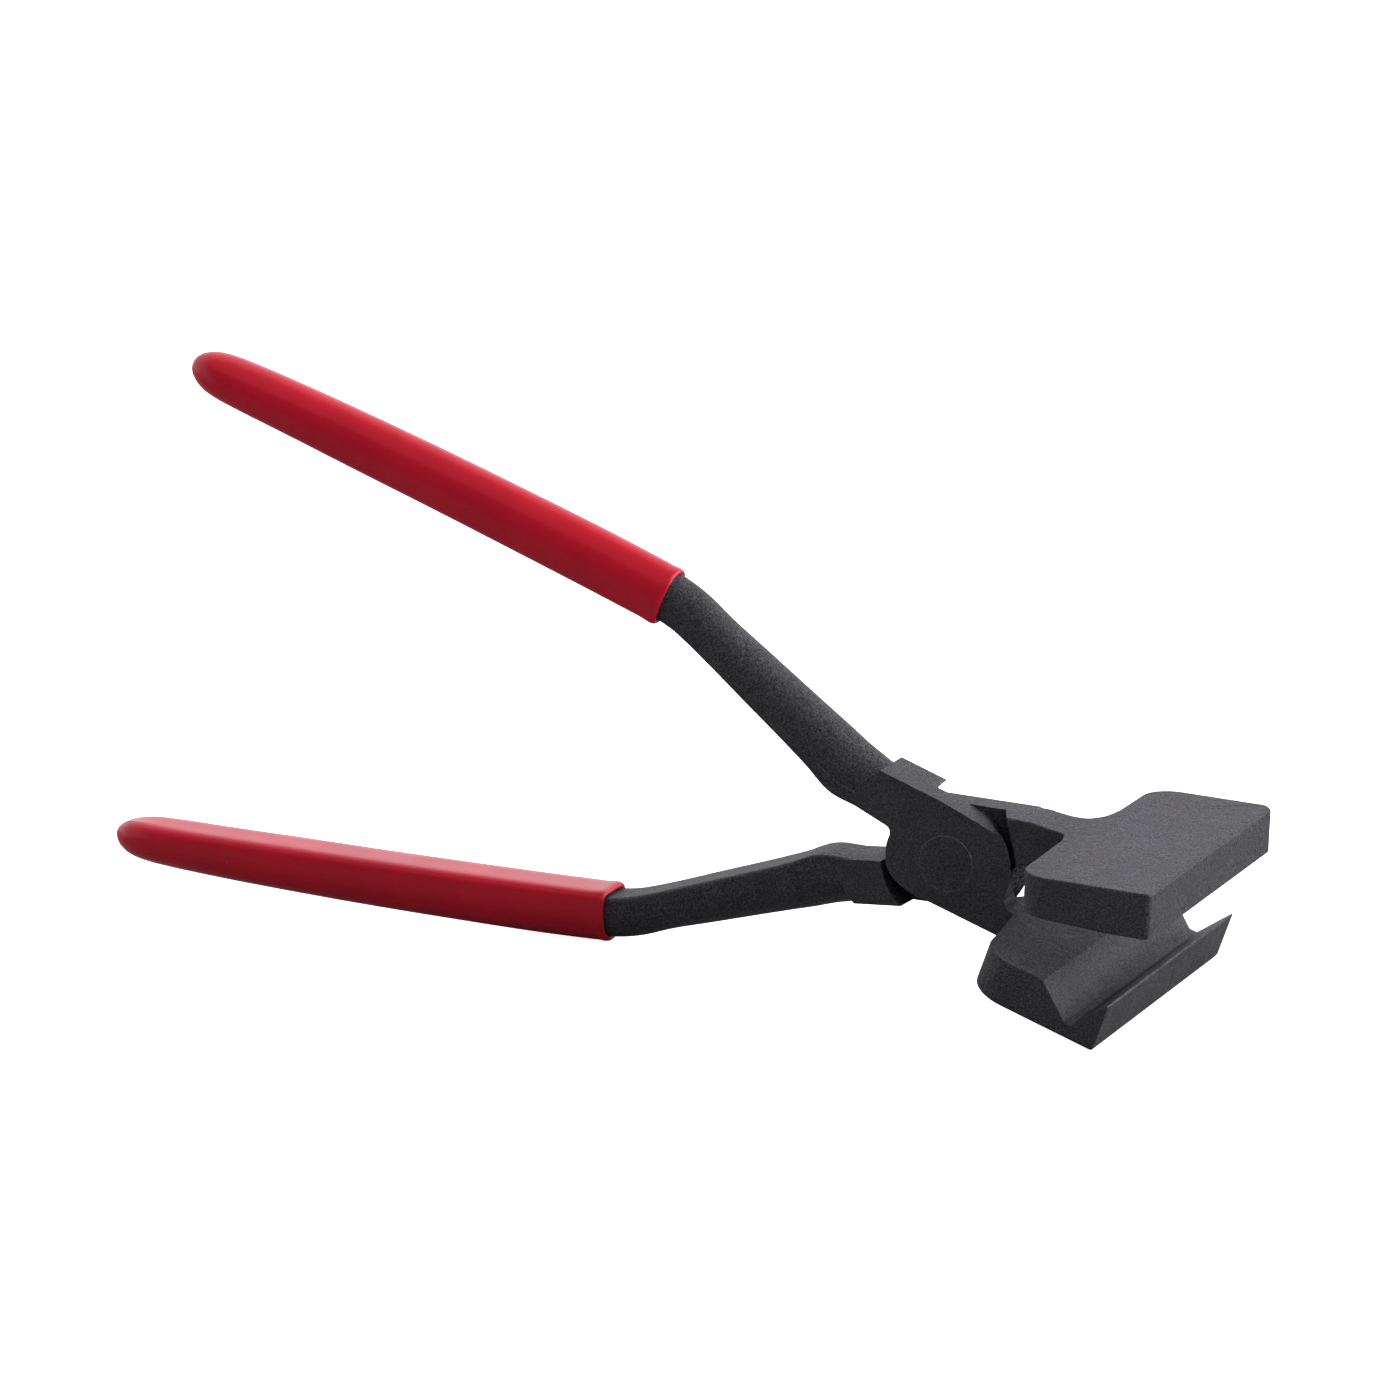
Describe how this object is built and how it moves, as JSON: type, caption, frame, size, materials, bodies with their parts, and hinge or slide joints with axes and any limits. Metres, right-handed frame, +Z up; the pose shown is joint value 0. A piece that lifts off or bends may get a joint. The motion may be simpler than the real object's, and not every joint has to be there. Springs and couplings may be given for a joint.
{
  "type": "sheet metal seaming pliers",
  "caption": "Riveted hand pliers with a broad flat upper jaw over a V-grooved lower jaw, and dipped sleeves on the handles.",
  "frame": {"origin": "on the table plane, under the middle of the pliers' length and width, with the pliers standing half open on the lower jaw's front edge and the lower grip", "axes": "+X from the handles towards the jaws, +Y across the width of the jaws, +Z up"},
  "size_m": [0.2779, 0.08, 0.1325],
  "materials": {
    "blackened_steel": "forged and blasted, then phosphated to a matt black grain",
    "rivet_steel": "ground flush and phosphated black",
    "red_dip": "soft vinyl, dipped, smooth and glossy"
  },
  "bodies": {
    "upper_jaw_body": {"upper_jaw_lever": "blackened_steel", "lower_grip": "red_dip"},
    "lower_jaw_body": {"lower_jaw_lever": "blackened_steel", "upper_grip": "red_dip", "pivot_rivet": "rivet_steel"}
  },
  "joints": [
    {"name": "handle_pivot", "type": "hinge", "parent": "upper_jaw_body", "child": "lower_jaw_body", "pos_m": [0.07683, 0, 0.02926], "axis": [0, 1, 0], "range_deg": [-17, 52]}
  ]
}
